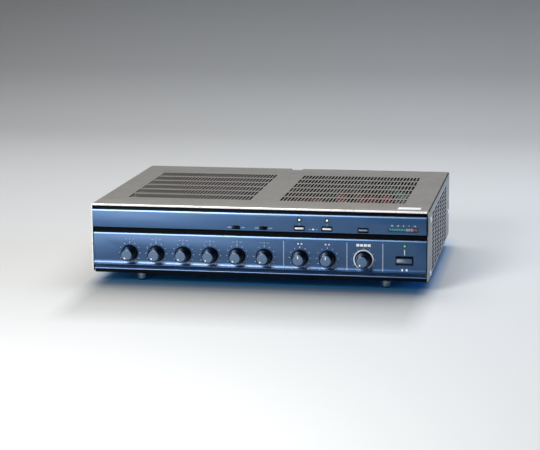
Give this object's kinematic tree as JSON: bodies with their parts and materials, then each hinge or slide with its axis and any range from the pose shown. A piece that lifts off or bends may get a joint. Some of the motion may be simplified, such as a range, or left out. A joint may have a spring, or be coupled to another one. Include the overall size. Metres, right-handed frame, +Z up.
{
  "type": "public address amplifier",
  "caption": "Desk-top public address amplifier: slotted wrap-round cover, curved front moulding, rotary knobs, power button, push buttons and a bar level meter.",
  "frame": {"origin": "under the middle of the whole object, on the surface that it stands on", "axes": "+Z up, the front faces -Y, +X to the right as the front is looked at"},
  "size_m": [0.4236, 0.343, 0.102],
  "materials": {
    "cover_paint": "fine satin stoving paint, warm grey",
    "chassis_steel": "zinc plated sheet",
    "frame_black": "satin black paint",
    "fascia_blue": "blue anodised, fine horizontal grain",
    "knob_black": "moulded, with a spun metal cap",
    "shaft_metal": "turned",
    "button_grey": "moulded, light grey",
    "black_plastic": "moulded",
    "lamp_green": "clear, tinted",
    "meter_window": "smoked",
    "foot_metal": "turned",
    "board_green": "coated laminate",
    "core_steel": "stacked sheet",
    "winding": "enamelled wire under tape",
    "sink_aluminium": "extruded",
    "capacitor_sleeve": "shrunk sleeve",
    "jack_metal": "plated",
    "screw_metal": "plated"
  },
  "bodies": {
    "housing": {"top_cover": "cover_paint", "bottom_chassis": "chassis_steel", "feet": "foot_metal", "rear_panel": "chassis_steel", "speaker_terminals": "black_plastic", "input_terminals": "black_plastic", "pin_jack_block": "black_plastic", "pin_jacks": "jack_metal", "fuse_holder": "black_plastic", "earth_terminal": "jack_metal", "cord_bushing": "black_plastic", "front_frame": "frame_black", "lower_fascia": "fascia_blue", "upper_fascia": "fascia_blue", "potentiometers": "shaft_metal", "push_switches": "black_plastic", "power_switch": "black_plastic", "slide_switches": "shaft_metal", "speaker_lamps": "lamp_green", "power_lamp": "lamp_green", "level_meter": "meter_window", "control_board": "board_green", "switch_board": "board_green", "main_board": "board_green", "board_posts": "jack_metal", "power_transformer_core": "core_steel", "power_transformer_winding": "winding", "output_transformer_core": "core_steel", "output_transformer_winding": "winding", "heat_sink": "sink_aluminium", "output_transistors": "black_plastic", "reservoir_capacitors": "capacitor_sleeve", "speaker_relay": "black_plastic", "drive_transformer": "core_steel", "board_connectors": "button_grey", "cover_screws": "screw_metal"},
    "input_1_control": {"input_1_knob": "knob_black", "input_1_shaft": "shaft_metal"},
    "input_2_control": {"input_2_knob": "knob_black", "input_2_shaft": "shaft_metal"},
    "input_3_control": {"input_3_knob": "knob_black", "input_3_shaft": "shaft_metal"},
    "input_4_control": {"input_4_knob": "knob_black", "input_4_shaft": "shaft_metal"},
    "input_5_control": {"input_5_knob": "knob_black", "input_5_shaft": "shaft_metal"},
    "input_6_control": {"input_6_knob": "knob_black", "input_6_shaft": "shaft_metal"},
    "bass_control": {"bass_knob": "knob_black", "bass_shaft": "shaft_metal"},
    "treble_control": {"treble_knob": "knob_black", "treble_shaft": "shaft_metal"},
    "master_control": {"master_knob": "knob_black", "master_shaft": "shaft_metal"},
    "speaker_a_push": {"speaker_a_button": "button_grey"},
    "speaker_b_push": {"speaker_b_button": "button_grey"},
    "chime_push": {"chime_button": "button_grey"},
    "power_push": {"power_button": "button_grey"},
    "low_cut_slide": {"low_cut_slider": "black_plastic"},
    "priority_slide": {"priority_slider": "black_plastic"}
  },
  "joints": [
    {"name": "input_1_turn", "type": "hinge", "parent": "housing", "child": "input_1_control", "pos_m": [-0.1616, -0.1625, 0.041], "axis": [0, 1, 0], "range_deg": [0, 300]},
    {"name": "input_2_turn", "type": "hinge", "parent": "housing", "child": "input_2_control", "pos_m": [-0.1276, -0.1625, 0.041], "axis": [0, 1, 0], "range_deg": [0, 300]},
    {"name": "input_3_turn", "type": "hinge", "parent": "housing", "child": "input_3_control", "pos_m": [-0.0936, -0.1625, 0.041], "axis": [0, 1, 0], "range_deg": [0, 300]},
    {"name": "input_4_turn", "type": "hinge", "parent": "housing", "child": "input_4_control", "pos_m": [-0.0596, -0.1625, 0.041], "axis": [0, 1, 0], "range_deg": [0, 300]},
    {"name": "input_5_turn", "type": "hinge", "parent": "housing", "child": "input_5_control", "pos_m": [-0.0256, -0.1625, 0.041], "axis": [0, 1, 0], "range_deg": [0, 300]},
    {"name": "input_6_turn", "type": "hinge", "parent": "housing", "child": "input_6_control", "pos_m": [0.0084, -0.1625, 0.041], "axis": [0, 1, 0], "range_deg": [0, 300]},
    {"name": "bass_turn", "type": "hinge", "parent": "housing", "child": "bass_control", "pos_m": [0.0526, -0.1625, 0.041], "axis": [0, 1, 0], "range_deg": [-150, 150]},
    {"name": "treble_turn", "type": "hinge", "parent": "housing", "child": "treble_control", "pos_m": [0.0866, -0.1625, 0.041], "axis": [0, 1, 0], "range_deg": [-150, 150]},
    {"name": "master_turn", "type": "hinge", "parent": "housing", "child": "master_control", "pos_m": [0.1308, -0.1625, 0.041], "axis": [0, 1, 0], "range_deg": [0, 300]},
    {"name": "speaker_a_press", "type": "slide", "parent": "housing", "child": "speaker_a_push", "axis": [0, 1, 0], "range_m": [0, 0.002], "stiffness_N_per_m": 600, "springref_m": -0.001},
    {"name": "speaker_b_press", "type": "slide", "parent": "housing", "child": "speaker_b_push", "axis": [0, 1, 0], "range_m": [0, 0.002], "stiffness_N_per_m": 600, "springref_m": -0.001},
    {"name": "chime_press", "type": "slide", "parent": "housing", "child": "chime_push", "axis": [0, 1, 0], "range_m": [0, 0.002], "stiffness_N_per_m": 600, "springref_m": -0.001},
    {"name": "power_press", "type": "slide", "parent": "housing", "child": "power_push", "axis": [0, 1, 0], "range_m": [0, 0.0035], "stiffness_N_per_m": 600, "springref_m": -0.002},
    {"name": "low_cut_move", "type": "slide", "parent": "housing", "child": "low_cut_slide", "axis": [1, 0, 0], "range_m": [0, 0.0048]},
    {"name": "priority_move", "type": "slide", "parent": "housing", "child": "priority_slide", "axis": [1, 0, 0], "range_m": [0, 0.0048]}
  ]
}
